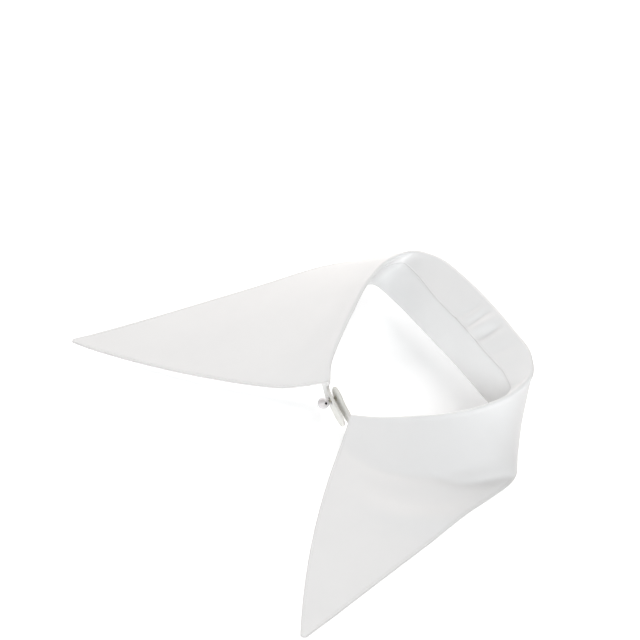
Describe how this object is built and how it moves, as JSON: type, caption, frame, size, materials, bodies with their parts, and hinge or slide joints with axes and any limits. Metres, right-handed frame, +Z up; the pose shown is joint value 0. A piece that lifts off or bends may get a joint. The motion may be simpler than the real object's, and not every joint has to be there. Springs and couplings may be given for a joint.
{
  "type": "detachable shirt collar",
  "caption": "Detachable shirt collar with a stand, a turned-over leaf with long spread points, fastened at the neck by a ball button.",
  "frame": {"origin": "middle of the collar's box, on the table it stands on", "axes": "+Z up; -Y the front, where the neck fastens and the two points reach out; +X the wearer's left"},
  "size_m": [0.2874, 0.235, 0.0487],
  "materials": {
    "starched_cotton": "plain-weave white cotton, starched and pressed",
    "pearl": "polished pearl white"
  },
  "bodies": {
    "root": {"leaf": "starched_cotton", "neck_band": "starched_cotton", "ball_button": "pearl"}
  },
  "joints": []
}
